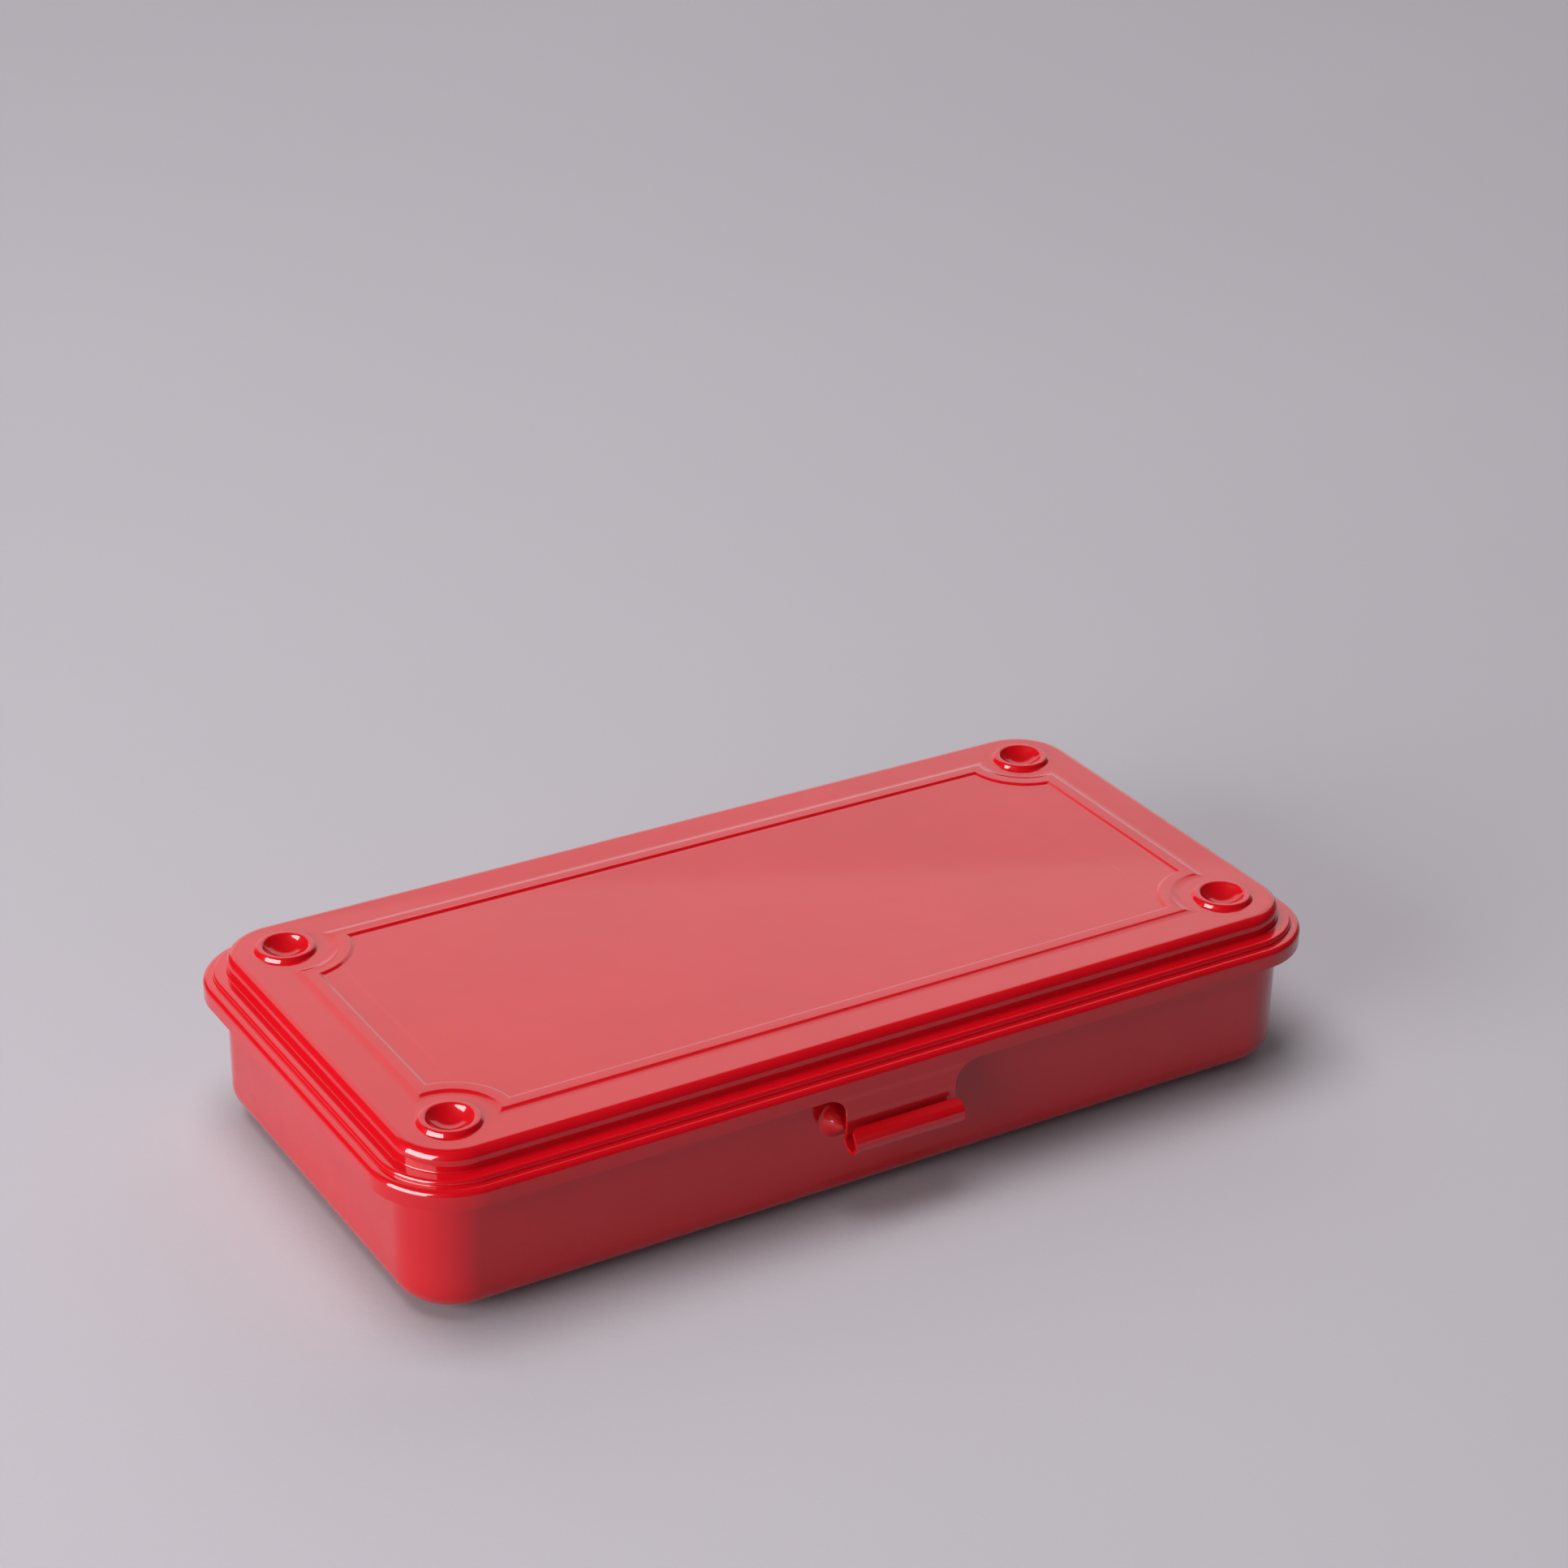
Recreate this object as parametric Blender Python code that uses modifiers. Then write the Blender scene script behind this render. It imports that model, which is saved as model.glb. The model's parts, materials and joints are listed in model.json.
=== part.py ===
"""A hinged pressed-steel box: a drawn lid with its latch tab, a drawn tray and two curled rear hinges.

Metres, +Z up, +X along the box. The latch is at -Y and the hinges are at +Y.
Z = 0 is the plane the feet rest on.
"""

import math

import bmesh
import bpy
from mathutils import Vector

MM = 0.001

# Whole box, in millimetres.
LENGTH = 203.0
DEPTH = 102.9
SKIRT_CORNER_R = 16.2
SHEET = 0.6
PLATEAU_Z = 35.6
TRAY_BOTTOM_Z = 1.8
CORNER_STEPS = 6

# Lid edge: insets from the skirt's outer face, and drops below the plateau.
PLATEAU_INSET = 4.7
PLATEAU_R = 2.0
LEDGE_DROP = 3.85
LEDGE_HOLLOW_R = 0.3
STEP_INSET = 2.0
STEP_R = 0.7
STEP_HOLLOW = 0.18
FLANGE_DROP = 5.0
RIM_R = 1.2
SKIRT_DROP = 8.65

# Lid corner rings and border rib.
RING_X = 85.4
RING_Y = 35.5
RING_OUTER_R = 6.2
RING_SHOULDER = (5.7, 0.6)
RING_CREST_R = 5.15
RING_HEIGHT = 0.9
LIP_R = 4.3
LIP_FOLD_R = 0.65
BOWL_R = 5.3
RING_STEPS = 12
RIB_CORNER_R = 11.3
RIB_HEIGHT = 0.36
RIB_STEPS = ((3.0, 0.0), (2.0, 0.25), (1.0, 1.0), (-1.0, 1.0), (-1.9, 0.0))
RIB_CORNER_STEPS = 5

# Latch tab and its curl. CURL holds (outward, drop) points on the sheet's front face.
TAB_HALF = 12.0
TAB_FILLET_R = 4.6
TAB_FLAT_DROP = 17.0
CURL = (
    (-0.3, 17.6), (-0.45, 18.3), (-0.2, 19.0), (0.45, 19.5), (1.3, 19.7), (2.15, 19.5),
    (2.75, 18.8), (2.9, 18.0), (2.75, 17.3), (2.3, 16.65), (1.6, 16.15), (0.85, 15.9),
)
CURL_END_CUT = 1.4

# Tray.
TRAY_INSET = 4.4
TRAY_BOTTOM_R = 5.2
TRAY_RIM_DROP = 5.35
HEM_INSET = 3.55
HEM_DROP = 6.3
HEM_CUT = 0.3
FOOT_R = 4.2
FOOT_TIP_R = 2.2
FOOT_SWELL = ((0.85, 0.55),)

# Catch rib on the tray's front wall.
CATCH_HALF = 15.8
CATCH_HALF_HEIGHT = 4.0
CATCH_DROP = 16.0
CATCH_OUT = 3.1
CATCH_END_STEPS = 6
CATCH_STEPS = ((0.0, 0.0), (0.3, 0.21), (0.65, 0.75), (0.85, 1.0))

# Hinges.
HINGE_X = 62.0
HINGE_HALF = 12.0
KNUCKLE_HALF = 4.5
GAP = 0.3
PIN_Y = 53.28
PIN_Z = 25.9
PIN_R = 0.75
PIN_OVERHANG = 0.5
CURL_R = 1.35
CURL_SWEEP = 275
CURL_SEGMENTS = 11
LID_LEAF_RISE = 2.15
NOTCH_RISE = 1.9
BODY_LEAF_FOOT_Z = 12.0
BODY_LEAF_BEND_Z = 21.6
BODY_LEAF_CRANK = ((0.3, 1.1), (1.4, 2.05))
BODY_CURL_START = 250

RED = (0.45, 0.004, 0.008, 1.0)
STEEL = (0.55, 0.55, 0.57, 1.0)


def clear_scene():
    for obj in list(bpy.data.objects):
        bpy.data.objects.remove(obj, do_unlink=True)


def new_collection(name):
    collection = bpy.data.collections.new(name)
    bpy.context.scene.collection.children.link(collection)
    return collection


def new_material(name, color, roughness, metallic):
    material = bpy.data.materials.new(name)
    material.use_nodes = True
    shader = material.node_tree.nodes["Principled BSDF"]
    shader.inputs["Base Color"].default_value = color
    shader.inputs["Roughness"].default_value = roughness
    shader.inputs["Metallic"].default_value = metallic
    return material


def arc(center, radius, start, end, steps):
    """Points on a circle in a plane, from angle start to angle end in degrees."""
    angles = [math.radians(start + (end - start) * i / steps) for i in range(steps + 1)]
    return [(center[0] + radius * math.cos(a), center[1] + radius * math.sin(a)) for a in angles]


def rounded_rectangle(inset):
    """The box's outline in plan, moved in by inset; the corners stay concentric."""
    half_x = LENGTH / 2 - inset
    half_y = DEPTH / 2 - inset
    radius = SKIRT_CORNER_R - inset
    points = []
    for start, side_x, side_y in ((180, -1, -1), (270, 1, -1), (0, 1, 1), (90, -1, 1)):
        center = (side_x * (half_x - radius), side_y * (half_y - radius))
        points += arc(center, radius, start, start + 90, CORNER_STEPS)
    return points


def rib_outline(offset):
    """The border rib's outline in plan: a rectangle whose corners are scooped out round the rings.

    offset moves it outwards from the rib's middle line.
    """
    radius = RIB_CORNER_R - offset
    sweep = math.degrees(math.asin(offset / radius))
    points = []
    for turn, side_x, side_y in ((90, -1, -1), (180, 1, -1), (270, 1, 1), (0, -1, 1)):
        center = (side_x * RING_X, side_y * RING_Y)
        points += arc(center, radius, turn + sweep, turn - 90 - sweep, RIB_CORNER_STEPS)
    return points


def circle(center, radius, steps):
    return arc(center, radius, 0, 360, steps)[:-1]


def stadium(center_z, half_length, half_height):
    """A long oval in the X, Z plane: two half circles joined by straight sides."""
    middle = half_length - half_height
    right = arc((middle, center_z), half_height, -90, 90, CATCH_END_STEPS)
    left = arc((-middle, center_z), half_height, 90, 270, CATCH_END_STEPS)
    return right + left


class Sheet:
    """An open surface in millimetres, made of lofted loops and filled flats, that becomes a solid sheet."""

    def __init__(self, origin=(0.0, 0.0, 0.0)):
        self.mesh = bmesh.new()
        self.origin = Vector(origin)

    def loop(self, points):
        return [self.mesh.verts.new((Vector(point) - self.origin) * MM) for point in points]

    def plan_loop(self, points, z):
        return self.loop([(x, y, z) for x, y in points])

    def loft(self, first, second, closed=True):
        """Joins two loops of the same length with quads."""
        count = len(first) if closed else len(first) - 1
        for i in range(count):
            j = (i + 1) % len(first)
            self.mesh.faces.new((first[i], first[j], second[j], second[i]))

    def loft_all(self, loops):
        for first, second in zip(loops, loops[1:]):
            self.loft(first, second)

    def fill(self, *loops):
        """Fills the flat area inside the first loop and outside the others."""
        edges = []
        for loop in loops:
            for i, vertex in enumerate(loop):
                pair = (vertex, loop[(i + 1) % len(loop)])
                edges.append(self.mesh.edges.get(pair) or self.mesh.edges.new(pair))
        bmesh.ops.triangle_fill(self.mesh, use_beauty=True, use_dissolve=False, edges=edges)

    def solid(self, name, collection, material, side, outward):
        """A solid sheet; side is Solidify's offset, and outward tests which way the faces point."""
        bmesh.ops.recalc_face_normals(self.mesh, faces=self.mesh.faces)
        self.mesh.faces.ensure_lookup_table()
        if not outward(self.mesh):
            bmesh.ops.reverse_faces(self.mesh, faces=self.mesh.faces)
        data = bpy.data.meshes.new(name)
        self.mesh.to_mesh(data)
        self.mesh.free()
        data.materials.append(material)
        obj = bpy.data.objects.new(name, data)
        obj.location = self.origin * MM
        collection.objects.link(obj)
        thickness = obj.modifiers.new("thickness", "SOLIDIFY")
        thickness.thickness = SHEET * MM
        thickness.offset = side
        thickness.use_even_offset = True
        return obj


def highest_face_up(mesh):
    return max(mesh.faces, key=lambda face: face.calc_center_median().z).normal.z > 0


def lowest_face_down(mesh):
    return min(mesh.faces, key=lambda face: face.calc_center_median().z).normal.z < 0


def lid_edge_profile():
    """(inset, drop) from the plateau's edge down to the top of the skirt."""
    profile = arc((PLATEAU_INSET + PLATEAU_R, PLATEAU_R), PLATEAU_R, 270, 180, 4)
    hollow = (PLATEAU_INSET - LEDGE_HOLLOW_R, LEDGE_DROP - LEDGE_HOLLOW_R)
    profile += arc(hollow, LEDGE_HOLLOW_R, 0, 90, 2)
    profile += arc((STEP_INSET + STEP_R, LEDGE_DROP + STEP_R), STEP_R, 270, 180, 2)
    profile += [(STEP_INSET, FLANGE_DROP - STEP_HOLLOW), (STEP_INSET - STEP_HOLLOW, FLANGE_DROP)]
    profile += arc((RIM_R, FLANGE_DROP + RIM_R), RIM_R, 270, 180, 3)
    return profile


def add_skirt(sheet, top):
    """The skirt below its top loop, with the latch tab in the middle of the front."""
    z = PLATEAU_Z - SKIRT_DROP
    bottom = sheet.plan_loop(rounded_rectangle(0.0), z)
    front = CORNER_STEPS
    for i in range(len(top)):
        j = (i + 1) % len(top)
        if i != front:
            sheet.mesh.faces.new((top[i], top[j], bottom[j], bottom[i]))
    y = -DEPTH / 2
    reach = TAB_HALF + TAB_FILLET_R
    center_z = z - TAB_FILLET_R
    tab_end_z = PLATEAU_Z - TAB_FLAT_DROP
    left = arc((-reach, center_z), TAB_FILLET_R, 90, 0, 4) + [(-TAB_HALF, tab_end_z)]
    outline = left + [(-x, height) for x, height in reversed(left)]
    tab = sheet.loop([(x, y, height) for x, height in outline])
    sheet.fill([top[front], bottom[front]] + tab + [bottom[front + 1], top[front + 1]])
    middle = len(left)
    return tab[middle - 1], tab[middle]


def add_curl(sheet, left, right):
    """The curled finger edge, from the tab's straight end."""
    row = [left, right]
    for index, (outward, drop) in enumerate(CURL):
        last = index == len(CURL) - 1
        half = TAB_HALF - (CURL_END_CUT if last else 0.0)
        y = -DEPTH / 2 - outward
        z = PLATEAU_Z - drop
        following = sheet.loop([(-half, y, z), (half, y, z)])
        sheet.loft(row, following, closed=False)
        row = following


def ring_profile():
    """(radius, rise) over the ring: up its steep outside, over its lip and down the spherical bowl."""
    tilt = math.degrees(math.asin(LIP_R / BOWL_R))
    crest_r = LIP_R + LIP_FOLD_R * LIP_R / BOWL_R
    lip = arc((crest_r, RING_HEIGHT - LIP_FOLD_R), LIP_FOLD_R, 90, 90 + tilt, 2)
    bowl_center = (0.0, lip[-1][1] + math.sqrt(BOWL_R ** 2 - LIP_R ** 2))
    bowl = arc(bowl_center, BOWL_R, tilt - 90, -90, 4)[1:-1]
    return [(RING_OUTER_R, 0.0), RING_SHOULDER, (RING_CREST_R, RING_HEIGHT)] + lip + bowl


def add_ring(sheet, center):
    """A raised ring round a bowl; returns the loop where it meets the plateau."""
    loops = [sheet.plan_loop(circle(center, r, RING_STEPS), PLATEAU_Z + rise) for r, rise in ring_profile()]
    sheet.loft_all(loops)
    sheet.fill(loops[-1])
    return loops[0]


def add_rib(sheet):
    """The raised border rib; returns its outer and inner loops on the plateau."""
    levels = [(rib_outline(offset), PLATEAU_Z + RIB_HEIGHT * rise) for offset, rise in RIB_STEPS]
    loops = [sheet.plan_loop(outline, z) for outline, z in levels]
    sheet.loft_all(loops)
    return loops[0], loops[-1]


def make_lid(collection, material):
    sheet = Sheet(origin=(0.0, PIN_Y, PIN_Z))
    profile = lid_edge_profile()
    loops = [sheet.plan_loop(rounded_rectangle(inset), PLATEAU_Z - drop) for inset, drop in profile]
    sheet.loft_all(loops)
    left, right = add_skirt(sheet, loops[-1])
    add_curl(sheet, left, right)
    centers = [(x, y) for x in (-RING_X, RING_X) for y in (-RING_Y, RING_Y)]
    rings = [add_ring(sheet, center) for center in centers]
    rib_outer, rib_inner = add_rib(sheet)
    sheet.fill(loops[0], rib_outer, *rings)
    sheet.fill(rib_inner)
    return sheet.solid("lid_shell", collection, material, -1.0, highest_face_up)


def tray_profile():
    """(inset, z) of the tray's outer face, from the hem round the rim and down the wall to the bottom."""
    rim_z = PLATEAU_Z - TRAY_RIM_DROP
    profile = [(HEM_INSET, PLATEAU_Z - HEM_DROP), (HEM_INSET, rim_z - HEM_CUT)]
    profile += [(HEM_INSET + HEM_CUT, rim_z), (TRAY_INSET - HEM_CUT, rim_z), (TRAY_INSET, rim_z - HEM_CUT)]
    center = (TRAY_INSET + TRAY_BOTTOM_R, TRAY_BOTTOM_Z + TRAY_BOTTOM_R)
    return profile + arc(center, TRAY_BOTTOM_R, 180, 270, 5)


def add_foot(sheet, center):
    """A pressed foot; returns the loop where it meets the tray's bottom."""
    swell = [(width * FOOT_R, height * TRAY_BOTTOM_Z) for width, height in FOOT_SWELL]
    profile = [(FOOT_R, TRAY_BOTTOM_Z)] + swell + [(FOOT_TIP_R, 0.0)]
    loops = [sheet.plan_loop(circle(center, radius, RING_STEPS), z) for radius, z in profile]
    sheet.loft_all(loops)
    sheet.fill(loops[-1])
    return loops[0]


def add_catch_rib(sheet):
    """The pressed catch rib; returns the loop where it meets the front wall."""
    wall_y = -DEPTH / 2 + TRAY_INSET
    z = PLATEAU_Z - CATCH_DROP
    loops = []
    for shrink, rise in CATCH_STEPS:
        half_height = CATCH_HALF_HEIGHT * (1 - shrink)
        half_length = CATCH_HALF - CATCH_HALF_HEIGHT * shrink
        outline = stadium(z, half_length, half_height)
        loops.append(sheet.loop([(x, wall_y - CATCH_OUT * rise, height) for x, height in outline]))
    sheet.loft_all(loops)
    sheet.fill(loops[-1])
    return loops[0]


def make_tray(collection, material):
    sheet = Sheet()
    profile = tray_profile()
    loops = [sheet.plan_loop(rounded_rectangle(inset), z) for inset, z in profile]
    wall = [i for i, (inset, _) in enumerate(profile) if abs(inset - TRAY_INSET) < 1e-6][0]
    front = CORNER_STEPS
    for index, (upper, lower) in enumerate(zip(loops, loops[1:])):
        for i in range(len(upper)):
            j = (i + 1) % len(upper)
            if (index, i) != (wall, front):
                sheet.mesh.faces.new((upper[i], upper[j], lower[j], lower[i]))
    upper, lower = loops[wall], loops[wall + 1]
    panel = [upper[front], upper[front + 1], lower[front + 1], lower[front]]
    sheet.fill(panel, add_catch_rib(sheet))
    centers = [(x, y) for x in (-RING_X, RING_X) for y in (-RING_Y, RING_Y)]
    feet = [add_foot(sheet, center) for center in centers]
    sheet.fill(loops[-1], *feet)
    return sheet.solid("body_tray", collection, material, -1.0, lowest_face_down)


def add_leaf_cells(sheet, rows, x_edges, kept):
    """Quads between rows of (y, z) points, over the cells between x_edges that kept(row, cell) allows."""
    used = {}

    def vertex(row, edge):
        if (row, edge) not in used:
            y, z = rows[row]
            used[row, edge] = sheet.loop([(x_edges[edge], y, z)])[0]
        return used[row, edge]

    for row in range(len(rows) - 1):
        for cell in range(len(x_edges) - 1):
            if kept(row, cell):
                corners = ((row, cell), (row, cell + 1), (row + 1, cell + 1), (row + 1, cell))
                sheet.mesh.faces.new([vertex(*corner) for corner in corners])


def face_backwards(mesh):
    return mesh.faces[0].normal.y > 0


def make_lid_leaf(name, x, collection, material):
    """A leaf on the rear skirt whose two side knuckles curl round the pin."""
    sheet = Sheet(origin=(x, PIN_Y, PIN_Z))
    plate_y = DEPTH / 2 + GAP + SHEET / 2
    start = math.degrees(math.acos((plate_y - PIN_Y) / CURL_R))
    rows = [(plate_y, PLATEAU_Z - SKIRT_DROP + LID_LEAF_RISE), (plate_y, PIN_Z + NOTCH_RISE)]
    rows += arc((PIN_Y, PIN_Z), CURL_R, start, start + CURL_SWEEP, CURL_SEGMENTS)
    edge = KNUCKLE_HALF + GAP
    x_edges = [x - HINGE_HALF, x - edge, x + edge, x + HINGE_HALF]
    add_leaf_cells(sheet, rows, x_edges, lambda row, cell: row == 0 or cell != 1)
    return sheet.solid(name, collection, material, 0.0, face_backwards)


def make_body_leaf(name, x, collection, material):
    """A leaf on the tray's rear wall whose middle knuckle reaches out and curls round the pin."""
    sheet = Sheet(origin=(x, PIN_Y, PIN_Z))
    plate_y = DEPTH / 2 - TRAY_INSET + GAP + SHEET / 2
    rows = [(plate_y, BODY_LEAF_FOOT_Z), (plate_y, BODY_LEAF_BEND_Z)]
    rows += [(plate_y + outward, BODY_LEAF_BEND_Z + up) for outward, up in BODY_LEAF_CRANK]
    rows += arc((PIN_Y, PIN_Z), CURL_R, BODY_CURL_START, BODY_CURL_START + CURL_SWEEP, CURL_SEGMENTS)
    x_edges = [x - HINGE_HALF, x - KNUCKLE_HALF, x + KNUCKLE_HALF, x + HINGE_HALF]
    add_leaf_cells(sheet, rows, x_edges, lambda row, cell: row == 0 or cell == 1)
    return sheet.solid(name, collection, material, 0.0, face_backwards)


def make_pin(name, x, collection, material):
    length = 2 * (HINGE_HALF + PIN_OVERHANG)
    bpy.ops.mesh.primitive_cylinder_add(vertices=16, radius=PIN_R * MM, depth=length * MM)
    pin = bpy.context.object
    pin.name = name
    pin.data.name = name
    for owner in list(pin.users_collection):
        owner.objects.unlink(pin)
    collection.objects.link(pin)
    pin.rotation_euler = (0.0, math.radians(90), 0.0)
    pin.location = (x * MM, PIN_Y * MM, PIN_Z * MM)
    pin.data.materials.append(material)
    ends = pin.modifiers.new("rounded_ends", "BEVEL")
    ends.width = 0.2 * MM
    ends.segments = 1
    ends.limit_method = "ANGLE"
    return pin


def shade(obj):
    obj.data.shade_smooth()
    obj.data.set_sharp_from_angle(angle=math.radians(35))


def main():
    clear_scene()
    collection = new_collection("lunch_box")
    enamels = ("lid_enamel", "tray_enamel", "leaf_enamel")
    enamel = {name: new_material(name, RED, 0.15, 0.0) for name in enamels}
    steel = new_material("pin_steel", STEEL, 0.35, 1.0)
    parts = [make_lid(collection, enamel["lid_enamel"]), make_tray(collection, enamel["tray_enamel"])]
    for side, x in (("left", -HINGE_X), ("right", HINGE_X)):
        parts.append(make_lid_leaf(f"hinge_lid_leaf_{side}", x, collection, enamel["leaf_enamel"]))
        parts.append(make_body_leaf(f"hinge_body_leaf_{side}", x, collection, enamel["leaf_enamel"]))
        parts.append(make_pin(f"hinge_pin_{side}", x, collection, steel))
    for part in parts:
        shade(part)


main()
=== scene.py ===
"""The finished look of the hinged steel box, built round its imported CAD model."""

import json
import math

import bmesh
import bpy
from mathutils import Matrix, Vector


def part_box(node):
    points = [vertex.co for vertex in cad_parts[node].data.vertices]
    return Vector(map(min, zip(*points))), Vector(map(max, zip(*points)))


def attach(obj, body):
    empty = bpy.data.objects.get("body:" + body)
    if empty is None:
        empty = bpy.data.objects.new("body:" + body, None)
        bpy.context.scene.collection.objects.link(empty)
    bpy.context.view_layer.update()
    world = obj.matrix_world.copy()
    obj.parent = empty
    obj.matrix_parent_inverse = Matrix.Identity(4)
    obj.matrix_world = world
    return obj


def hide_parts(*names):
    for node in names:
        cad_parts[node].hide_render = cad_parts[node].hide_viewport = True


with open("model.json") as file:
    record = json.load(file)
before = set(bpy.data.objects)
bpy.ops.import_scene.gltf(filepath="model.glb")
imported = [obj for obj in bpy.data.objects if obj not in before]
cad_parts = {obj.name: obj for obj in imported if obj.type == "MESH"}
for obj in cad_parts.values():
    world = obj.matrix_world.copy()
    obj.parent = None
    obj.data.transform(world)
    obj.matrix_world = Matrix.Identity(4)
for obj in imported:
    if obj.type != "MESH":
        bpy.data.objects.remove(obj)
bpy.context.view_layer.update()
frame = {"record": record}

MM = 0.001

# Anchors read from the CAD model, in millimetres.
LID_HIGH = Vector(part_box("lid_shell")[1]) / MM
HALF_LENGTH = LID_HIGH.x
HALF_DEPTH = LID_HIGH.y
HINGE_X = sum(corner[0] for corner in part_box("hinge_pin_right")) / 2 / MM
PIN_Y, PIN_Z = (value / MM for value in frame["record"]["behaviour"]["joints"][0]["pos_m"][1:])

# The sheet and the lid's edge: insets from the skirt's outer face and drops below the plateau.
SHEET = 0.6
SKIRT_CORNER_R = 16.2
RING_HEIGHT = 0.9
PLATEAU_Z = LID_HIGH.z - RING_HEIGHT
PLATEAU_INSET = 4.7
PLATEAU_R = 2.0
LEDGE_DROP = 3.85
LEDGE_HOLLOW_R = 0.3
STEP_INSET = 2.0
STEP_R = 0.7
STEP_HOLLOW_R = 0.2
FLANGE_DROP = 5.0
RIM_R = 1.2
SKIRT_DROP = 8.65
CORNER_STEPS = 28
# In a loop round the box, the straight front runs from this point to the next one.
FRONT = CORNER_STEPS

# Rings with bowls, and the border rib.
RING_X = 85.4
RING_Y = 35.5
CORNERS = [(x, y) for x in (-RING_X, RING_X) for y in (-RING_Y, RING_Y)]
RING_OUTER_R = 6.2
RING_SLOPE = 57
RING_HOLLOW_R = 0.2
LIP_R = 4.3
LIP_FOLD_R = 0.65
BOWL_R = 5.3
RING_STEPS = 96
RIB_CORNER_R = 11.3
RIB_CREST_HALF = 1.0
RIB_OUTER_SLOPE = 2.0
RIB_INNER_SLOPE = 0.9
RIB_HEIGHT = 0.36
RIB_SLOPE_STEPS = 8
RIB_CORNER_STEPS = 28

# Latch tab and its curl. CURL holds (outward, drop) points on the sheet's front face.
TAB_HALF = 12.0
TAB_FILLET_R = 4.6
TAB_FLAT_DROP = 17.0
CURL = (
    (0.0, 17.0), (-0.3, 17.6), (-0.45, 18.3), (-0.2, 19.0), (0.45, 19.5), (1.3, 19.7), (2.15, 19.5),
    (2.75, 18.8), (2.9, 18.0), (2.75, 17.3), (2.3, 16.65), (1.6, 16.15), (0.85, 15.9),
)
CURL_STEPS = 6
CURL_CORNER_R = 1.5

# Tray.
TRAY_INSET = 4.4
TRAY_BOTTOM_R = 5.2
TRAY_BOTTOM_Z = 1.8
TRAY_RIM_DROP = 5.35
HEM_INSET = 3.55
HEM_DROP = 6.3
HEM_BEND_R = 0.3
FOOT_R = 4.2
FOOT_TIP_R = 2.2
FOOT_STEPS = 12
CATCH_HALF = 15.8
CATCH_HALF_HEIGHT = 4.0
CATCH_DROP = 16.0
CATCH_OUT = 3.1
CATCH_STEPS = 19

# Hinges.
HINGE_HALF = 12.0
KNUCKLE_HALF = 4.5
GAP = 0.3
PIN_R = 0.75
PIN_OVERHANG = 0.5
PIN_DOME_R = 0.25
CURL_R = 1.35
CURL_SWEEP = 275
CURL_SEGMENTS = 48
LID_LEAF_RISE = 2.15
NOTCH_RISE = 1.9
NOTCH_R = 0.4
LID_LEAF_CORNER_R = 0.8
BODY_LEAF_FOOT_Z = 12.0
BODY_LEAF_FOOT_R = 2.0
BODY_LEAF_BEND_Z = 21.6
BODY_LEAF_BEND_R = 1.2
BODY_LEAF_CRANK = ((0.3, 1.1), (1.4, 2.05))
BODY_CURL_START = 250
CRANK_LEAD_IN = 40
CRANK_STEPS = 8
WELD_R = 1.3
WELD_PLACE = 0.62
WELD_STEPS = ((1.0, 0.0), (0.85, 0.05), (0.65, 0.15), (0.4, 0.2))

EDGE_ROUNDING = 0.14

RED = (0.52, 0.002, 0.008, 1.0)
DEEP_RED = (0.48, 0.0015, 0.006, 1.0)
PAPER_COLOR = (0.43, 0.4, 0.437, 1.0)


# ---------------------------------------------------------------- outlines

def arc(center, radius, start, end, steps):
    """Points on a circle in a plane, from angle start to angle end in degrees."""
    angles = [math.radians(start + (end - start) * i / steps) for i in range(steps + 1)]
    return [(center[0] + radius * math.cos(a), center[1] + radius * math.sin(a)) for a in angles]


def rounded_rectangle(inset):
    """The box's outline in plan, moved in by inset; the corners stay concentric."""
    half_x = HALF_LENGTH - inset
    half_y = HALF_DEPTH - inset
    radius = SKIRT_CORNER_R - inset
    points = []
    for start, side_x, side_y in ((180, -1, -1), (270, 1, -1), (0, 1, 1), (90, -1, 1)):
        center = (side_x * (half_x - radius), side_y * (half_y - radius))
        points += arc(center, radius, start, start + 90, CORNER_STEPS)
    return points


def rib_outline(offset):
    """The border rib in plan: a rectangle whose corners are scooped out round the rings."""
    radius = RIB_CORNER_R - offset
    sweep = math.degrees(math.asin(offset / radius))
    points = []
    for turn, side_x, side_y in ((90, -1, -1), (180, 1, -1), (270, 1, 1), (0, -1, 1)):
        center = (side_x * RING_X, side_y * RING_Y)
        points += arc(center, radius, turn + sweep, turn - 90 - sweep, RIB_CORNER_STEPS)
    return points


def circle(center, radius, steps=RING_STEPS):
    return arc(center, radius, 0, 360, steps)[:-1]


def rounded_outline(corners, steps=6):
    """A closed outline from (x, z, radius) corners; a corner of radius 0 stays sharp."""
    points = []
    for i, (x, z, radius) in enumerate(corners):
        here = Vector((x, z))
        if radius == 0:
            points.append((x, z))
            continue
        before = (Vector(corners[i - 1][:2]) - here).normalized()
        after = (Vector(corners[(i + 1) % len(corners)][:2]) - here).normalized()
        reach = radius / math.tan(before.angle(after) / 2)
        start, end = here + before * reach, here + after * reach
        center = here + (before + after).normalized() * math.hypot(radius, reach)
        for step in range(steps + 1):
            spoke = (start - center).slerp(end - center, step / steps)
            points.append(tuple(center + spoke.normalized() * radius))
    return points


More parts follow.
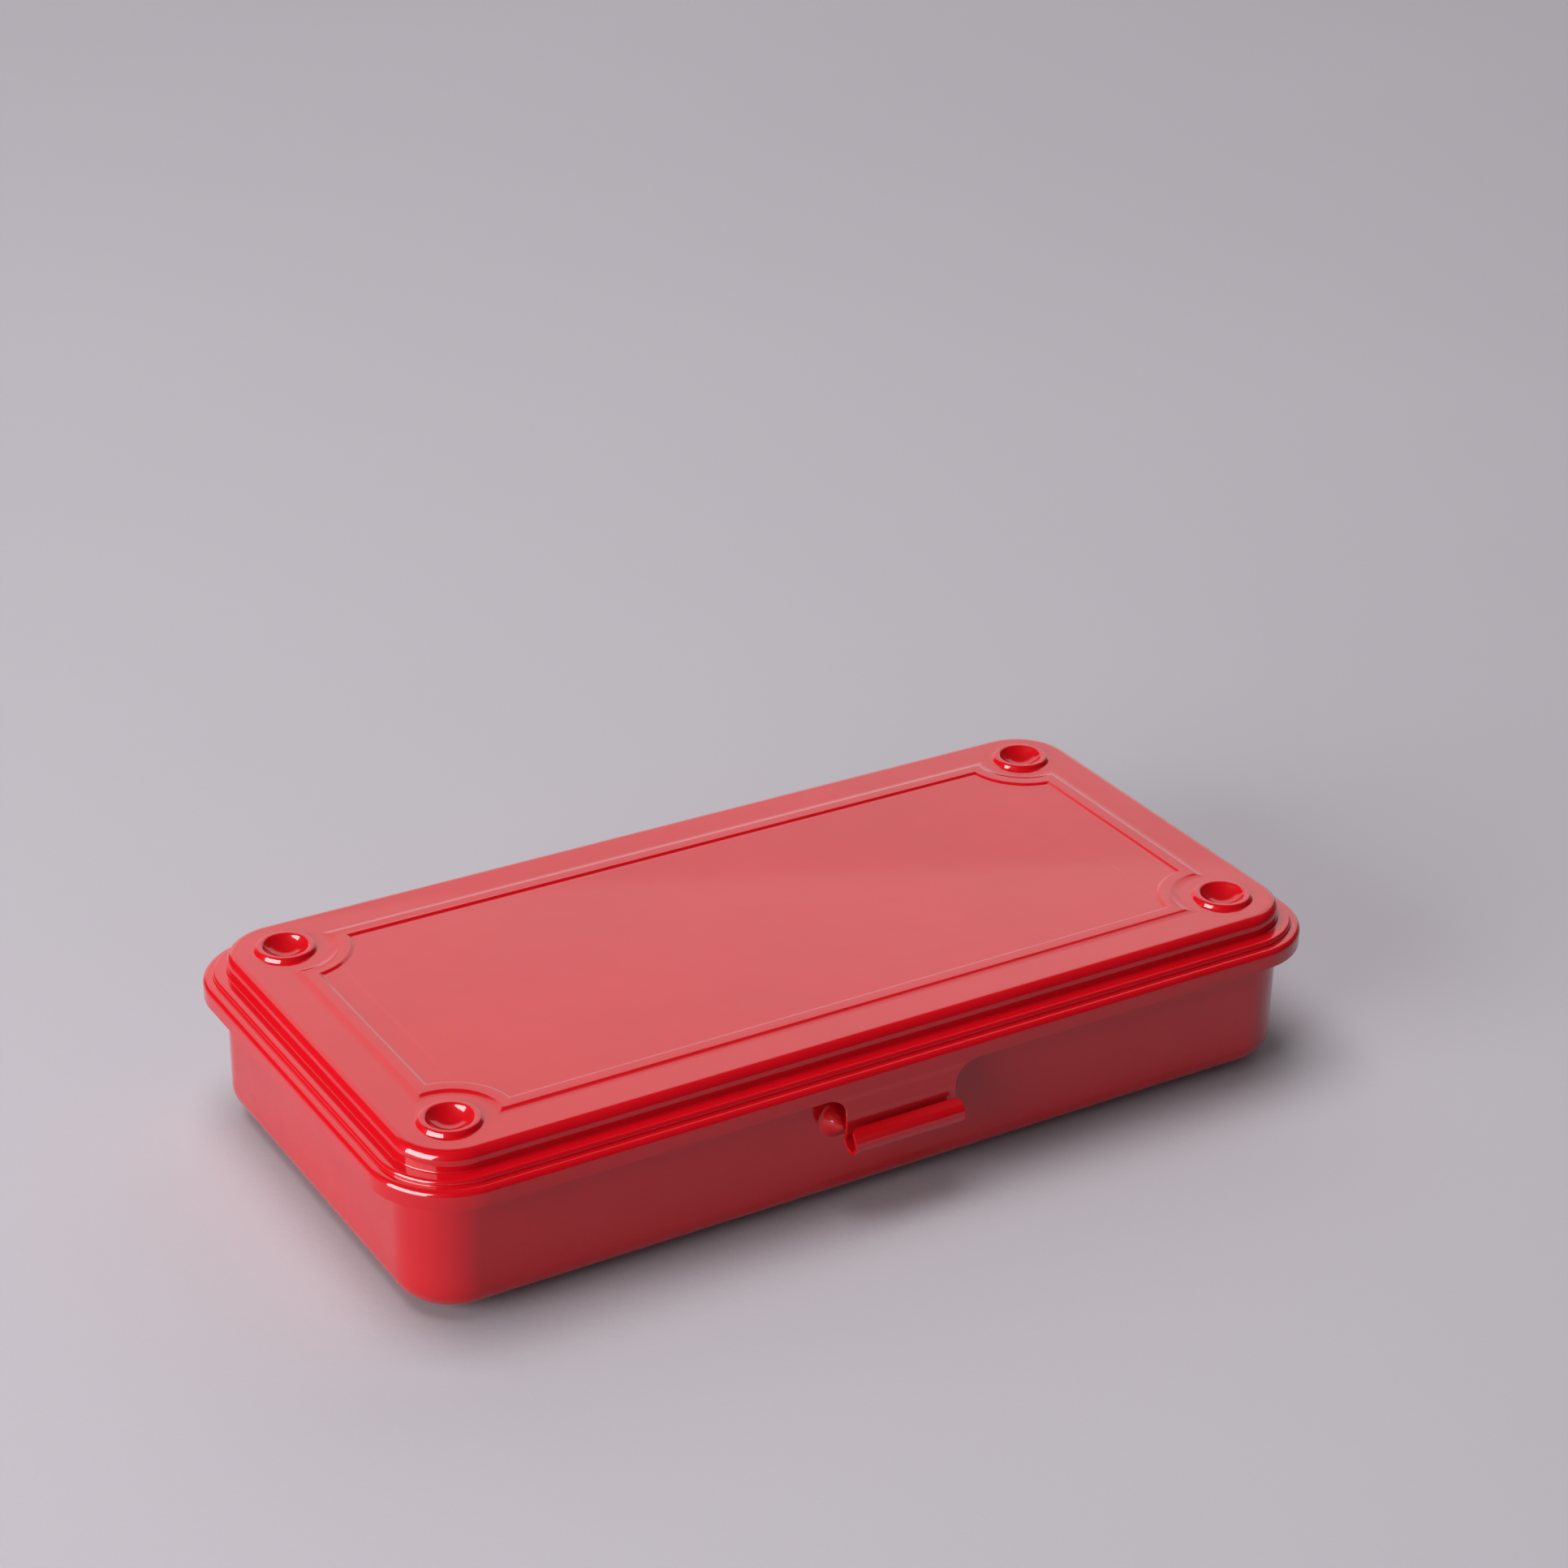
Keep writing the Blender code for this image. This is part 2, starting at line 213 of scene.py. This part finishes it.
def smooth_path(points, steps):
    """A Catmull-Rom curve through the points."""
    path = []
    last = len(points) - 1
    for i in range(last):
        a, b, c, d = (Vector(points[min(max(i + k, 0), last)]) for k in (-1, 0, 1, 2))
        for step in range(steps):
            t = step / steps
            path.append(tuple(0.5 * (2 * b + (c - a) * t + (2 * a - 5 * b + 4 * c - d) * t * t
                                     + (3 * b - a - 3 * c + d) * t ** 3)))
    path.append(tuple(points[last]))
    return path


# ---------------------------------------------------------------- pressed sheets

def add_smooth_object(name, mesh):
    """A smooth-shaded object made from a finished mesh."""
    data = bpy.data.meshes.new(name)
    mesh.to_mesh(data)
    mesh.free()
    data.shade_smooth()
    obj = bpy.data.objects.new(name, data)
    bpy.context.scene.collection.objects.link(obj)
    return obj


class Sheet:
    """An open surface of lofted loops and filled flats, in millimetres, that becomes a solid sheet."""

    def __init__(self):
        self.mesh = bmesh.new()

    def loop(self, points):
        return [self.mesh.verts.new(Vector(point) * MM) for point in points]

    def plan_loop(self, points, z):
        return self.loop([(x, y, z) for x, y in points])

    def loft(self, first, second, closed=True, skip=None):
        """Joins two loops of the same length with quads, and leaves out the one numbered skip."""
        count = len(first) if closed else len(first) - 1
        for i in range(count):
            j = (i + 1) % len(first)
            if i != skip:
                self.mesh.faces.new((first[i], first[j], second[j], second[i]))

    def loft_all(self, loops):
        for first, second in zip(loops, loops[1:]):
            self.loft(first, second)

    def fill(self, *loops):
        """Fills the flat area inside the first loop and outside the others."""
        edges = []
        for loop in loops:
            for i, vertex in enumerate(loop):
                pair = (vertex, loop[(i + 1) % len(loop)])
                edges.append(self.mesh.edges.get(pair) or self.mesh.edges.new(pair))
        bmesh.ops.triangle_fill(self.mesh, use_beauty=True, use_dissolve=False, edges=edges)

    def solid(self, name, side, outward):
        """The sheet as a smooth solid with slightly rounded cut edges."""
        bmesh.ops.recalc_face_normals(self.mesh, faces=self.mesh.faces)
        self.mesh.faces.ensure_lookup_table()
        if not outward(self.mesh):
            bmesh.ops.reverse_faces(self.mesh, faces=self.mesh.faces)
        obj = add_smooth_object(name, self.mesh)
        thickness = obj.modifiers.new("thickness", "SOLIDIFY")
        thickness.thickness = SHEET * MM
        thickness.offset = side
        thickness.use_even_offset = True
        edges = obj.modifiers.new("edges", "BEVEL")
        edges.width = EDGE_ROUNDING * MM
        edges.segments = 2
        edges.limit_method = "ANGLE"
        edges.angle_limit = math.radians(50)
        normals = obj.modifiers.new("normals", "WEIGHTED_NORMAL")
        normals.weight = 60
        return obj


def highest_face_up(mesh):
    return max(mesh.faces, key=lambda face: face.calc_center_median().z).normal.z > 0


def lowest_face_down(mesh):
    return min(mesh.faces, key=lambda face: face.calc_center_median().z).normal.z < 0


def face_backwards(mesh):
    return mesh.faces[0].normal.y > 0


# ---------------------------------------------------------------- lid

def lid_edge_profile():
    """(inset, drop) from the plateau's edge down to the top of the skirt."""
    profile = arc((PLATEAU_INSET + PLATEAU_R, PLATEAU_R), PLATEAU_R, 270, 180, 12)
    hollow_center = (PLATEAU_INSET - LEDGE_HOLLOW_R, LEDGE_DROP - LEDGE_HOLLOW_R)
    profile += arc(hollow_center, LEDGE_HOLLOW_R, 0, 90, 6)
    profile += arc((STEP_INSET + STEP_R, LEDGE_DROP + STEP_R), STEP_R, 270, 180, 8)
    profile += arc((STEP_INSET - STEP_HOLLOW_R, FLANGE_DROP - STEP_HOLLOW_R), STEP_HOLLOW_R, 0, 90, 5)
    profile += arc((RIM_R, FLANGE_DROP + RIM_R), RIM_R, 270, 180, 10)
    return profile


def add_skirt(sheet, top):
    """The skirt below its top loop, with the latch tab in the middle of the front."""
    z = PLATEAU_Z - SKIRT_DROP
    bottom = sheet.plan_loop(rounded_rectangle(0.0), z)
    sheet.loft(top, bottom, skip=FRONT)
    reach = TAB_HALF + TAB_FILLET_R
    left = arc((-reach, z - TAB_FILLET_R), TAB_FILLET_R, 90, 0, 16)
    left.append((-TAB_HALF, PLATEAU_Z - TAB_FLAT_DROP))
    outline = left + [(-x, height) for x, height in reversed(left)]
    tab = sheet.loop([(x, -HALF_DEPTH, height) for x, height in outline])
    sheet.fill([top[FRONT], bottom[FRONT]] + tab + [bottom[FRONT + 1], top[FRONT + 1]])
    middle = len(left)
    return tab[middle - 1], tab[middle]


def add_curl(sheet, left, right):
    """The curled finger edge, from the tab's straight end; its outer corners are rounded."""
    path = smooth_path(CURL, CURL_STEPS)[1:]
    travelled = [0.0]
    for a, b in zip(path, path[1:]):
        travelled.append(travelled[-1] + math.dist(a, b))
    row = [left, right]
    for (outward, drop), gone in zip(path, travelled):
        short = max(0.0, CURL_CORNER_R - (travelled[-1] - gone))
        half = TAB_HALF - CURL_CORNER_R + math.sqrt(CURL_CORNER_R ** 2 - short ** 2)
        y = -HALF_DEPTH - outward
        z = PLATEAU_Z - drop
        following = sheet.loop([(-half, y, z), (half, y, z)])
        sheet.loft(row, following, closed=False)
        row = following


def ring_profile():
    """(radius, rise) over the ring: up its steep outside, over its lip and down the spherical bowl."""
    slope = math.radians(RING_SLOPE)
    rounding = (RING_HOLLOW_R + LIP_FOLD_R) * (1 - math.cos(slope))
    run = (RING_HEIGHT - rounding) / math.tan(slope)
    shoulder_r = RING_OUTER_R - (RING_HOLLOW_R + LIP_FOLD_R) * math.sin(slope) - run
    profile = arc((RING_OUTER_R, RING_HOLLOW_R), RING_HOLLOW_R, 270, 270 - RING_SLOPE, 5)
    profile += arc((shoulder_r, RING_HEIGHT - LIP_FOLD_R), LIP_FOLD_R, 90 - RING_SLOPE, 90, 8)
    tilt = math.degrees(math.asin(LIP_R / BOWL_R))
    crest_r = LIP_R + LIP_FOLD_R * LIP_R / BOWL_R
    lip = arc((crest_r, RING_HEIGHT - LIP_FOLD_R), LIP_FOLD_R, 90, 90 + tilt, 8)
    bowl_center = (0.0, lip[-1][1] + math.sqrt(BOWL_R ** 2 - LIP_R ** 2))
    return profile + lip + arc(bowl_center, BOWL_R, tilt - 90, -90, 18)[1:-1]


def add_ring(sheet, center):
    """A raised ring round a bowl; returns the loop where it meets the plateau."""
    loops = [sheet.plan_loop(circle(center, r), PLATEAU_Z + rise) for r, rise in ring_profile()]
    sheet.loft_all(loops)
    sheet.fill(loops[-1])
    return loops[0]


def rib_profile():
    """(offset, rise) across the border rib: an easy slope, a flat crest and a short inner slope."""
    profile = []
    for step in range(RIB_SLOPE_STEPS + 1):
        t = step / RIB_SLOPE_STEPS
        profile.append((RIB_CREST_HALF + RIB_OUTER_SLOPE * (1 - t), RIB_HEIGHT * t * t))
    for step in range(RIB_SLOPE_STEPS + 1):
        t = step / RIB_SLOPE_STEPS
        rise = RIB_HEIGHT * (1 + math.cos(math.pi * t)) / 2
        profile.append((-RIB_CREST_HALF - RIB_INNER_SLOPE * t, rise))
    return profile


def add_rib(sheet):
    """The raised border rib; returns its outer and inner loops on the plateau."""
    loops = [sheet.plan_loop(rib_outline(offset), PLATEAU_Z + rise) for offset, rise in rib_profile()]
    sheet.loft_all(loops)
    return loops[0], loops[-1]


def make_lid():
    sheet = Sheet()
    loops = [sheet.plan_loop(rounded_rectangle(inset), PLATEAU_Z - drop)
             for inset, drop in lid_edge_profile()]
    sheet.loft_all(loops)
    left, right = add_skirt(sheet, loops[-1])
    add_curl(sheet, left, right)
    rings = [add_ring(sheet, center) for center in CORNERS]
    rib_outer, rib_inner = add_rib(sheet)
    sheet.fill(loops[0], rib_outer, *rings)
    sheet.fill(rib_inner)
    return sheet.solid("lid_pressing", -1.0, highest_face_up)


# ---------------------------------------------------------------- tray

def tray_profile():
    """(inset, z) of the tray's outer face, from the hem round the rim and down the wall to the bottom."""
    rim_z = PLATEAU_Z - TRAY_RIM_DROP
    profile = [(HEM_INSET, PLATEAU_Z - HEM_DROP)]
    bend_z = rim_z - HEM_BEND_R
    profile += arc((HEM_INSET + HEM_BEND_R, bend_z), HEM_BEND_R, 180, 90, 4)
    profile += arc((TRAY_INSET - HEM_BEND_R, bend_z), HEM_BEND_R, 90, 0, 4)
    center = (TRAY_INSET + TRAY_BOTTOM_R, TRAY_BOTTOM_Z + TRAY_BOTTOM_R)
    return profile + arc(center, TRAY_BOTTOM_R, 180, 270, 20)


def add_foot(sheet, center):
    """A pressed foot; returns the loop where it meets the tray's bottom."""
    loops = []
    for step in range(FOOT_STEPS + 1):
        t = step / FOOT_STEPS
        radius = FOOT_R + (FOOT_TIP_R - FOOT_R) * t
        z = TRAY_BOTTOM_Z * (1 + math.cos(math.pi * t)) / 2
        loops.append(sheet.plan_loop(circle(center, radius), z))
    sheet.loft_all(loops)
    sheet.fill(loops[-1])
    return loops[0]


def add_catch_rib(sheet):
    """The pressed catch rib; returns the loop where it meets the front wall."""
    wall_y = -HALF_DEPTH + TRAY_INSET
    z = PLATEAU_Z - CATCH_DROP
    middle = CATCH_HALF - CATCH_HALF_HEIGHT
    loops = []
    for step in range(CATCH_STEPS):
        t = step / CATCH_STEPS
        half_height = CATCH_HALF_HEIGHT * (1 - t)
        rise = (1 - math.cos(math.pi * t)) / 2
        outline = arc((middle, z), half_height, -90, 90, 20)
        outline += arc((-middle, z), half_height, 90, 270, 20)
        loops.append(sheet.loop([(x, wall_y - CATCH_OUT * rise, height) for x, height in outline]))
    sheet.loft_all(loops)
    sheet.fill(loops[-1])
    return loops[0]


def make_tray():
    sheet = Sheet()
    profile = tray_profile()
    loops = [sheet.plan_loop(rounded_rectangle(inset), z) for inset, z in profile]
    drops = [upper[1] - lower[1] for upper, lower in zip(profile, profile[1:])]
    wall = drops.index(max(drops))
    for index, (upper, lower) in enumerate(zip(loops, loops[1:])):
        sheet.loft(upper, lower, skip=FRONT if index == wall else None)
    upper, lower = loops[wall], loops[wall + 1]
    panel = [upper[FRONT], upper[FRONT + 1], lower[FRONT + 1], lower[FRONT]]
    sheet.fill(panel, add_catch_rib(sheet))
    feet = [add_foot(sheet, center) for center in CORNERS]
    sheet.fill(loops[-1], *feet)
    return sheet.solid("tray_pressing", -1.0, lowest_face_down)


# ---------------------------------------------------------------- hinges

def add_weld(sheet, x, y, z):
    """A spot weld's shallow dimple in a leaf's plate; returns its edge loop."""
    loops = []
    for share, depth in WELD_STEPS:
        outline = circle((x, z), share * WELD_R, 24)
        loops.append(sheet.loop([(px, y - depth, pz) for px, pz in outline]))
    sheet.loft_all(loops)
    sheet.fill(loops[-1])
    return loops[0]


def add_strip(sheet, start, path, half):
    """A strip from the two vertices in start along a path of (y, z) points."""
    x = sum(vertex.co.x for vertex in start) / 2 / MM
    row = start
    for y, z in path:
        following = sheet.loop([(x - half, y, z), (x + half, y, z)])
        sheet.loft(row, following, closed=False)
        row = following


def outline_loop(sheet, corners, y):
    return sheet.loop([(x, y, z) for x, z in rounded_outline(corners)])


def vertex_at(loop, x, z):
    """The loop's vertex that is nearest to a place in the leaf's plate."""
    return min(loop, key=lambda vertex: math.dist((vertex.co.x, vertex.co.z), (x * MM, z * MM)))


def make_lid_leaf(name, x):
    """A leaf on the rear skirt whose two side knuckles curl round the pin."""
    sheet = Sheet()
    y = HALF_DEPTH + GAP + SHEET / 2
    start = math.acos((y - PIN_Y) / CURL_R)
    low = PIN_Z + CURL_R * math.sin(start)
    top = PLATEAU_Z - SKIRT_DROP + LID_LEAF_RISE
    notch = PIN_Z + NOTCH_RISE
    edge = KNUCKLE_HALF + GAP
    half = HINGE_HALF
    corners = [
        (x - half, low, 0), (x - edge, low, 0), (x - edge, notch, NOTCH_R), (x + edge, notch, NOTCH_R),
        (x + edge, low, 0), (x + half, low, 0), (x + half, top, LID_LEAF_CORNER_R),
        (x - half, top, LID_LEAF_CORNER_R),
    ]
    plate = outline_loop(sheet, corners, y)
    sheet.fill(plate)
    degrees = math.degrees(start)
    path = arc((PIN_Y, PIN_Z), CURL_R, degrees, degrees + CURL_SWEEP, CURL_SEGMENTS)[1:]
    width = (half - edge) / 2
    for side in (-1, 1):
        ends = sorted((x + side * half, x + side * edge))
        add_strip(sheet, [vertex_at(plate, end, low) for end in ends], path, width)
    return sheet.solid(name, 0.0, face_backwards)


def make_body_leaf(name, x):
    """A leaf on the tray's rear wall whose middle knuckle reaches out and curls round the pin."""
    sheet = Sheet()
    y = HALF_DEPTH - TRAY_INSET + GAP + SHEET / 2
    foot, bend = BODY_LEAF_FOOT_Z, BODY_LEAF_BEND_Z
    half, neck = HINGE_HALF, KNUCKLE_HALF
    corners = [
        (x - half, foot, BODY_LEAF_FOOT_R), (x + half, foot, BODY_LEAF_FOOT_R),
        (x + half, bend, BODY_LEAF_BEND_R), (x + neck, bend, 0),
        (x - neck, bend, 0), (x - half, bend, BODY_LEAF_BEND_R),
    ]
    plate = outline_loop(sheet, corners, y)
    middle = (foot + bend) / 2
    welds = [add_weld(sheet, x + side * WELD_PLACE * half, y, middle) for side in (-1, 1)]
    sheet.fill(plate, *welds)
    # The crank is smoothed together with the start of the curl, so that the two meet without a kink.
    bends = [(y, bend)] + [(y + outward, bend + up) for outward, up in BODY_LEAF_CRANK]
    lead_in = arc((PIN_Y, PIN_Z), CURL_R, BODY_CURL_START, BODY_CURL_START + CRANK_LEAD_IN, 2)
    path = smooth_path(bends + lead_in, CRANK_STEPS)[1:len(bends) * CRANK_STEPS]
    path += arc((PIN_Y, PIN_Z), CURL_R, BODY_CURL_START, BODY_CURL_START + CURL_SWEEP, CURL_SEGMENTS)
    add_strip(sheet, [vertex_at(plate, x - neck, bend), vertex_at(plate, x + neck, bend)], path, neck)
    return sheet.solid(name, 0.0, face_backwards)


def make_pin(name, x):
    """A drawn wire pin with domed ends."""
    surface = Sheet()
    end_center = (HINGE_HALF + PIN_OVERHANG - PIN_DOME_R, PIN_R - PIN_DOME_R)
    stations = arc(end_center, PIN_DOME_R, 90, 0, 6)
    stations = [(-along, radius) for along, radius in reversed(stations)] + stations
    rings = []
    for along, radius in stations:
        outline = circle((PIN_Y, PIN_Z), radius, 32)
        rings.append(surface.loop([(x + along, y, z) for y, z in outline]))
    surface.loft_all(rings)
    surface.mesh.faces.new(reversed(rings[0]))
    surface.mesh.faces.new(rings[-1])
    bmesh.ops.recalc_face_normals(surface.mesh, faces=surface.mesh.faces)
    obj = add_smooth_object(name, surface.mesh)
    obj.modifiers.new("normals", "WEIGHTED_NORMAL")
    return obj


# ---------------------------------------------------------------- materials

class Nodes:
    """Short calls for building one material's node tree."""

    def __init__(self, name):
        self.material = bpy.data.materials.new(name)
        self.material.use_nodes = True
        self.tree = self.material.node_tree
        self.shader = self.tree.nodes["Principled BSDF"]
        self.place = self.add("ShaderNodeTexCoord").outputs["Object"]

    def add(self, kind, **settings):
        node = self.tree.nodes.new(kind)
        for key, value in settings.items():
            setattr(node, key, value)
        return node

    def link(self, source, target):
        self.tree.links.new(source, target)

    def noise(self, scale, detail=2.0, roughness=0.5):
        node = self.add("ShaderNodeTexNoise")
        node.inputs["Scale"].default_value = scale
        node.inputs["Detail"].default_value = detail
        node.inputs["Roughness"].default_value = roughness
        self.link(self.place, node.inputs["Vector"])
        return node.outputs["Fac"]

    def ramp(self, source, *stops):
        node = self.add("ShaderNodeValToRGB")
        elements = node.color_ramp.elements
        while len(elements) < len(stops):
            elements.new(0.5)
        for element, (position, color) in zip(elements, stops):
            element.position = position
            element.color = color
        self.link(source, node.inputs["Fac"])
        return node.outputs["Color"]

    def span(self, source, low, high, to_low, to_high):
        node = self.add("ShaderNodeMapRange")
        for key, value in zip(("From Min", "From Max", "To Min", "To Max"), (low, high, to_low, to_high)):
            node.inputs[key].default_value = value
        self.link(source, node.inputs["Value"])
        return node.outputs["Result"]

    def mix(self, factor, a, b):
        node = self.add("ShaderNodeMix", data_type="RGBA")
        self.link(factor, node.inputs["Factor"])
        for key, value in (("A", a), ("B", b)):
            socket = [entry for entry in node.inputs if entry.name == key and entry.type == "RGBA"][0]
            if isinstance(value, tuple):
                socket.default_value = value
            else:
                self.link(value, socket)
        return [entry for entry in node.outputs if entry.type == "RGBA"][0]

    def bump(self, height, strength, distance, before=None):
        node = self.add("ShaderNodeBump")
        node.inputs["Strength"].default_value = strength
        node.inputs["Distance"].default_value = distance
        self.link(height, node.inputs["Height"])
        if before:
            self.link(before, node.inputs["Normal"])
        return node.outputs["Normal"]


def enamel(name, red, deep):
    """Stoved gloss enamel: a clouded red with faint orange peel, and a painted highlight that makes the
    pressed edges paler.
    """
    nodes = Nodes(name)
    cloud = nodes.noise(28.0, 3.0)
    color = nodes.ramp(cloud, (0.3, deep), (0.7, red))
    # Painted highlight: sharp convex edges, picked out by pointiness, are mixed towards a paler red.
    edge = nodes.add("ShaderNodeNewGeometry").outputs["Pointiness"]
    painted_edge_highlight = nodes.span(edge, 0.56, 0.66, 0.0, 0.35)
    highlight_red = (min(1.0, red[0] * 1.15), red[1] + 0.02, red[2] + 0.02, 1.0)
    color = nodes.mix(painted_edge_highlight, color, highlight_red)
    nodes.link(color, nodes.shader.inputs["Base Color"])
    haze = nodes.noise(160.0, 3.0, 0.6)
    nodes.link(nodes.span(haze, 0.3, 0.7, 0.34, 0.44), nodes.shader.inputs["Roughness"])
    nodes.shader.inputs["Specular IOR Level"].default_value = 0.05
    nodes.shader.inputs["Coat Weight"].default_value = 1.0
    nodes.shader.inputs["Coat Roughness"].default_value = 0.04
    nodes.shader.inputs["Coat IOR"].default_value = 1.5
    peel = nodes.noise(420.0, 2.0)
    grain = nodes.noise(2600.0, 1.0)
    normal = nodes.bump(peel, 0.05, 0.0002)
    nodes.link(nodes.bump(grain, 0.04, 0.00003, normal), nodes.shader.inputs["Normal"])
    return nodes.material


def wire_steel(name):
    """Drawn steel wire: fine lengthwise streaks and a little tarnish."""
    nodes = Nodes(name)
    stretch = nodes.add("ShaderNodeMapping")
    stretch.inputs["Scale"].default_value = (0.04, 1.0, 1.0)
    nodes.link(nodes.place, stretch.inputs["Vector"])
    nodes.place = stretch.outputs["Vector"]
    streak = nodes.noise(4200.0, 2.0)
    nodes.link(nodes.ramp(streak, (0.3, (0.36, 0.36, 0.37, 1)), (0.7, (0.6, 0.6, 0.61, 1))),
               nodes.shader.inputs["Base Color"])
    nodes.link(nodes.span(streak, 0.3, 0.7, 0.25, 0.45), nodes.shader.inputs["Roughness"])
    nodes.shader.inputs["Metallic"].default_value = 1.0
    nodes.link(nodes.bump(streak, 0.15, 0.00002), nodes.shader.inputs["Normal"])
    return nodes.material


def paper(name, color):
    """Seamless background paper."""
    nodes = Nodes(name)
    mottle = nodes.noise(3.0, 4.0)
    shade = tuple(channel * 0.97 for channel in color[:3]) + (1.0,)
    nodes.link(nodes.ramp(mottle, (0.3, shade), (0.7, color)), nodes.shader.inputs["Base Color"])
    nodes.shader.inputs["Roughness"].default_value = 0.85
    nodes.shader.inputs["Specular IOR Level"].default_value = 0.2
    tooth = nodes.noise(700.0, 3.0)
    nodes.link(nodes.bump(tooth, 0.12, 0.0003), nodes.shader.inputs["Normal"])
    return nodes.material


# ---------------------------------------------------------------- studio

CAMERA_LENS = 81.86
CAMERA_AIM = Vector((0.0348, 0.0496, 0.0356))
CAMERA_DISTANCE = 0.7514
CAMERA_AZIMUTH = -31.56
CAMERA_ELEVATION = 26.61
CAMERA_ROLL = 1.17
WHITE = (1.0, 1.0, 1.0)

# The paper sweep, in metres.
PAPER_HALF = 4.0
PAPER_NEAR = -3.0
PAPER_WALL_Y = 2.4
PAPER_BEND_R = 0.5
PAPER_TOP = 2.6


def direction(azimuth, elevation):
    """Unit vector towards a place in the studio; azimuth is counted from +X towards +Y, in degrees."""
    a, e = math.radians(azimuth), math.radians(elevation)
    return Vector((math.cos(a) * math.cos(e), math.sin(a) * math.cos(e), math.sin(e)))


def add_camera():
    back = direction(CAMERA_AZIMUTH - 90, CAMERA_ELEVATION)
    data = bpy.data.cameras.new("camera")
    data.lens = CAMERA_LENS
    data.sensor_width = 36.0
    data.clip_start = 0.01
    camera = bpy.data.objects.new("camera", data)
    bpy.context.scene.collection.objects.link(camera)
    turn = back.to_track_quat("Z", "Y").to_matrix() @ Matrix.Rotation(math.radians(CAMERA_ROLL), 3, "Z")
    camera.matrix_world = Matrix.Translation(CAMERA_AIM + back * CAMERA_DISTANCE) @ turn.to_4x4()
    bpy.context.scene.camera = camera


def add_softbox(name, azimuth, elevation, distance, width, height, power, color=WHITE):
    """A rectangular light that faces the box."""
    light = bpy.data.lights.new(name, "AREA")
    light.shape = "RECTANGLE"
    light.size = width
    light.size_y = height
    light.energy = power
    light.color = color
    lamp = bpy.data.objects.new(name, light)
    bpy.context.scene.collection.objects.link(lamp)
    towards = direction(azimuth, elevation)
    turn = towards.to_track_quat("Z", "Y").to_matrix()
    lamp.matrix_world = Matrix.Translation(towards * distance) @ turn.to_4x4()
    return lamp


def add_world(strength):
    """An even white surround."""
    world = bpy.data.worlds.new("studio")
    world.use_nodes = True
    background = world.node_tree.nodes["Background"]
    background.inputs["Color"].default_value = (*WHITE, 1.0)
    background.inputs["Strength"].default_value = strength
    bpy.context.scene.world = world


def add_backdrop():
    """A paper sweep: a wide floor that curves up into a wall behind the box."""
    mesh = bmesh.new()
    half, near, wall_y, bend, top = PAPER_HALF, PAPER_NEAR, PAPER_WALL_Y, PAPER_BEND_R, PAPER_TOP
    profile = [(near, 0.0)] + arc((wall_y - bend, bend), bend, -90, 0, 24) + [(wall_y, top)]
    turn = Matrix.Rotation(math.radians(CAMERA_AZIMUTH), 3, "Z")
    rows = [[mesh.verts.new(turn @ Vector((side * half, y, z))) for side in (-1, 1)] for y, z in profile]
    for low, high in zip(rows, rows[1:]):
        mesh.faces.new((low[0], low[1], high[1], high[0]))
    sweep = add_smooth_object("paper_sweep", mesh)
    sweep.data.materials.append(paper("paper", PAPER_COLOR))


def add_lights():
    """Softboxes seen in the enamel, and fills that only light it."""
    add_world(0.03)
    sheen = add_softbox("sheen", 190, 25, 0.95, 0.82, 0.66, 24.6, (1.0, 0.99, 1.0))
    sheen.visible_diffuse = False
    add_softbox("back_glow", 62, 25, 1.9, 3.0, 1.77, 14.5)
    add_softbox("high_glow", 66, 42, 1.9, 3.0, 0.88, 2.2)
    for name, azimuth, elevation, distance, size, power in (
        ("side_fill", 192, 15, 1.2, 0.8, 16.5),
        ("top_fill", 150, 78, 1.8, 1.2, 28.5),
    ):
        fill = add_softbox(name, azimuth, elevation, distance, size, size, power)
        fill.visible_glossy = False


# ---------------------------------------------------------------- assembly

def stand_in(piece, node, body, material):
    """Rides a finished piece on its body in place of its CAD node."""
    piece.data.materials.append(material)
    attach(piece, body)
    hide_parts(node)


def main():
    bpy.context.scene.view_settings.view_transform = "Standard"
    lid_enamel = enamel("lid_enamel_finish", RED, DEEP_RED)
    tray_enamel = enamel("tray_enamel_finish", RED, DEEP_RED)
    leaf_enamel = enamel("leaf_enamel_finish", RED, DEEP_RED)
    steel = wire_steel("pin_steel_finish")
    stand_in(make_lid(), "lid_shell", "lid", lid_enamel)
    stand_in(make_tray(), "body_tray", "tray", tray_enamel)
    for side, x in (("left", -HINGE_X), ("right", HINGE_X)):
        leaf = make_lid_leaf(f"lid_leaf_{side}", x)
        stand_in(leaf, f"hinge_lid_leaf_{side}", "lid", leaf_enamel)
        leaf = make_body_leaf(f"body_leaf_{side}", x)
        stand_in(leaf, f"hinge_body_leaf_{side}", "tray", leaf_enamel)
        stand_in(make_pin(f"pin_{side}", x), f"hinge_pin_{side}", "tray", steel)
    add_camera()
    add_backdrop()
    add_lights()


main()
